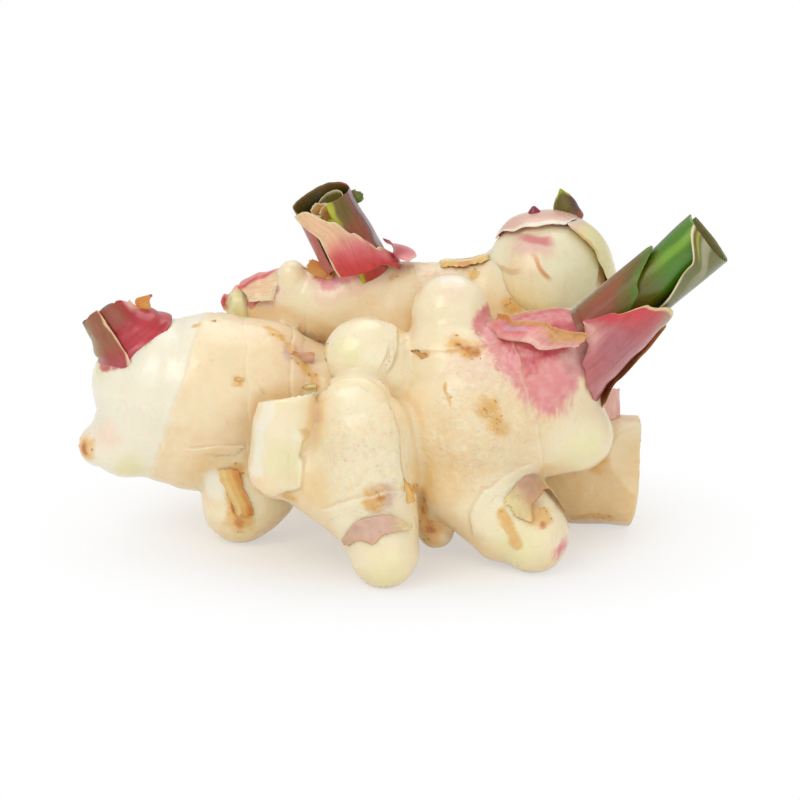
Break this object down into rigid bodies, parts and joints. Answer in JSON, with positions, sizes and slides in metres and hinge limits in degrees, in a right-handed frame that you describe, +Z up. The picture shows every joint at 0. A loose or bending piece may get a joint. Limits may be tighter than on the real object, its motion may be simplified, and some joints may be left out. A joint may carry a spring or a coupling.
{
  "type": "galangal rhizome",
  "caption": "Fresh branched galangal hand with knobbly cream lobes, cut sheathed shoots, pink bracts and dry scale remnants, lying on its lobes.",
  "frame": {"origin": "middle of the bounding box, on the plane that the lobes rest on", "axes": "+X along the hand, from the end with the crimson bud towards the end that was cut off the plant; +Z up; -Y is the front, where the two blunt front feet are"},
  "size_m": [0.1632, 0.0952, 0.0899],
  "materials": {
    "root_skin": "thin moist cream skin over pale flesh, slightly translucent",
    "green_sheath": "smooth fresh green leaf sheath",
    "grey_sheath": "ribbed grey-green leaf sheath",
    "brown_sheath": "ribbed brown-olive leaf sheath",
    "pink_bract": "satin pink to crimson scale leaf with fine veins and a cream margin",
    "crimson_scale": "satin crimson scale leaf with fine veins",
    "cream_scale": "thin moist ivory scale leaf with pink and brown blushes",
    "olive_scale": "satin olive-brown scale leaf with fine veins",
    "dry_scale": "dry papery brown scale remnant"
  },
  "bodies": {
    "root": {"root_stock": "root_skin", "right_shoot_heart": "green_sheath", "right_shoot_inner_sheath": "green_sheath", "right_shoot_side_sheath": "brown_sheath", "right_shoot_outer_sheath": "grey_sheath", "right_shoot_bract": "pink_bract", "right_shoot_back_scale": "brown_sheath", "right_shoot_torn_flap": "pink_bract", "rear_shoot_heart": "olive_scale", "rear_shoot_inner_leaf": "olive_scale", "rear_shoot_outer_sheath": "brown_sheath", "rear_shoot_pink_scale": "pink_bract", "rear_shoot_skirt": "crimson_scale", "rear_shoot_scrap": "green_sheath", "left_bud_heart": "crimson_scale", "left_bud_crimson_scale": "crimson_scale", "left_bud_front_scale": "olive_scale", "left_bud_dry_curl": "dry_scale", "top_bud_front_scale": "cream_scale", "top_bud_back_scale": "cream_scale", "top_bud_crown_scale": "cream_scale", "top_bud_right_scale": "cream_scale", "top_bud_leaf_tip": "olive_scale", "top_bud_purple_tip": "crimson_scale", "finger_tip_scale": "cream_scale", "finger_ridge_scale": "pink_bract", "front_foot_torn_scale": "dry_scale", "right_foot_torn_scale": "dry_scale", "left_foot_dry_scale": "dry_scale", "ridge_dry_curl": "dry_scale", "ridge_dry_scale": "dry_scale", "cut_end_pink_scale": "pink_bract"}
  },
  "joints": []
}
